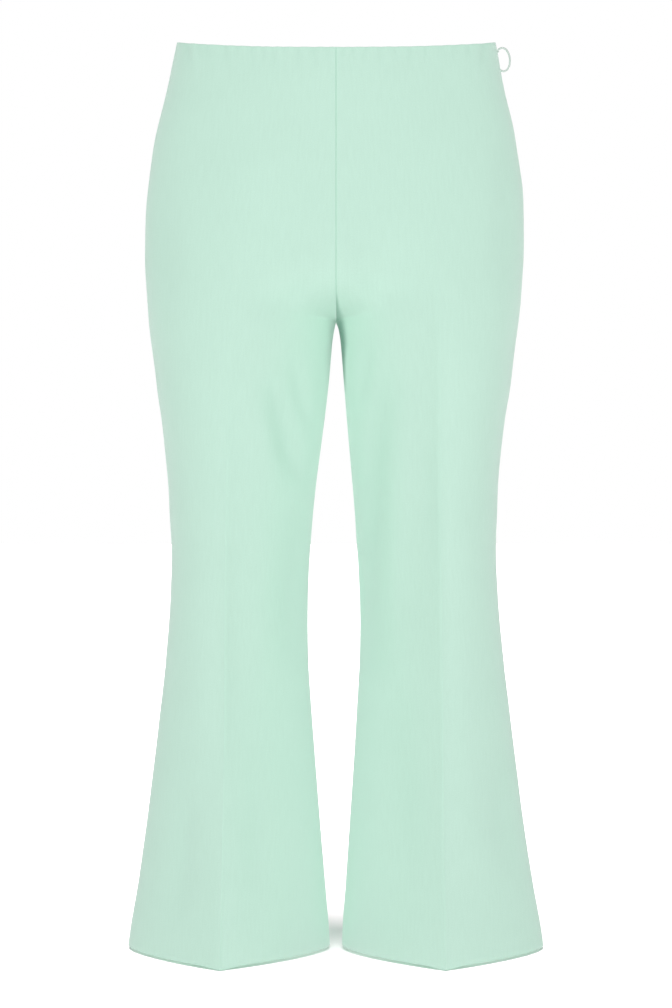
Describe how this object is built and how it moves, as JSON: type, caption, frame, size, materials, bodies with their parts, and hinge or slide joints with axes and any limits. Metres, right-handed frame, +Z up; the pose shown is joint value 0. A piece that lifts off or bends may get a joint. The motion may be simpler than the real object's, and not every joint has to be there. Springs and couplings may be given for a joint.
{
  "type": "flared trousers",
  "caption": "Cropped flared trousers with pressed creases and a hidden side zip, hollow and filled out as worn.",
  "frame": {"origin": "centre of the waist opening, level with the top of the side seams, where the wearer's waist holds the garment", "axes": "+Z up, front of the garment facing -Y, wearer's left leg and the zip at +X"},
  "size_m": [0.3944, 0.2228, 0.867],
  "materials": {
    "cloth": "matte mint green crepe suiting, fine weave, soft sheen",
    "tape": "fine woven zip tape",
    "enamel": "satin enamel in the cloth's colour"
  },
  "bodies": {
    "trousers": {"front_left": "cloth", "front_right": "cloth", "back_left": "cloth", "back_right": "cloth", "zip_tape": "tape", "zip_slider": "enamel"},
    "pull": {"zip_pull": "enamel"}
  },
  "joints": [
    {"name": "pull_swing", "type": "hinge", "parent": "trousers", "child": "pull", "pos_m": [0.1546, 0, -0.00915], "axis": [0, -1, 0], "range_deg": [0, 75]}
  ]
}
